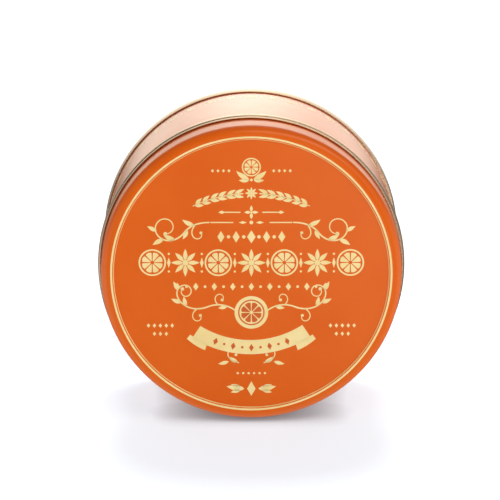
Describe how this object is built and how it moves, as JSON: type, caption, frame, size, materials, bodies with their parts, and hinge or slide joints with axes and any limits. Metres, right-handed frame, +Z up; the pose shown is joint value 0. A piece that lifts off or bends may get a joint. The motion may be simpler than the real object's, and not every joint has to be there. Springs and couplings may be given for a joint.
{
  "type": "round cake tin",
  "caption": "Closed round tinplate cake tin on its edge: slip lid with a rolled edge and printed ornament, orange wall and seamed base.",
  "frame": {"origin": "on the surface that the tin stands on, below the middle of the tin", "axes": "+Z up, +Y from the lid towards the base, +X to the right of someone who faces the lid; the tin's own axis lies along Y, leaning back by about 1.6 degrees, because the lid's rolled edge is wider than the seam of the base"},
  "size_m": [0.13, 0.0803, 0.1296],
  "materials": {
    "orange_lacquer": "glossy printed lacquer on tinplate",
    "gold_print": "pale gold printing ink under gloss varnish",
    "tinplate": "bare tinplate with a thin gold lacquer"
  },
  "bodies": {
    "root": {"lid": "orange_lacquer", "body": "orange_lacquer", "base": "tinplate"}
  },
  "joints": []
}
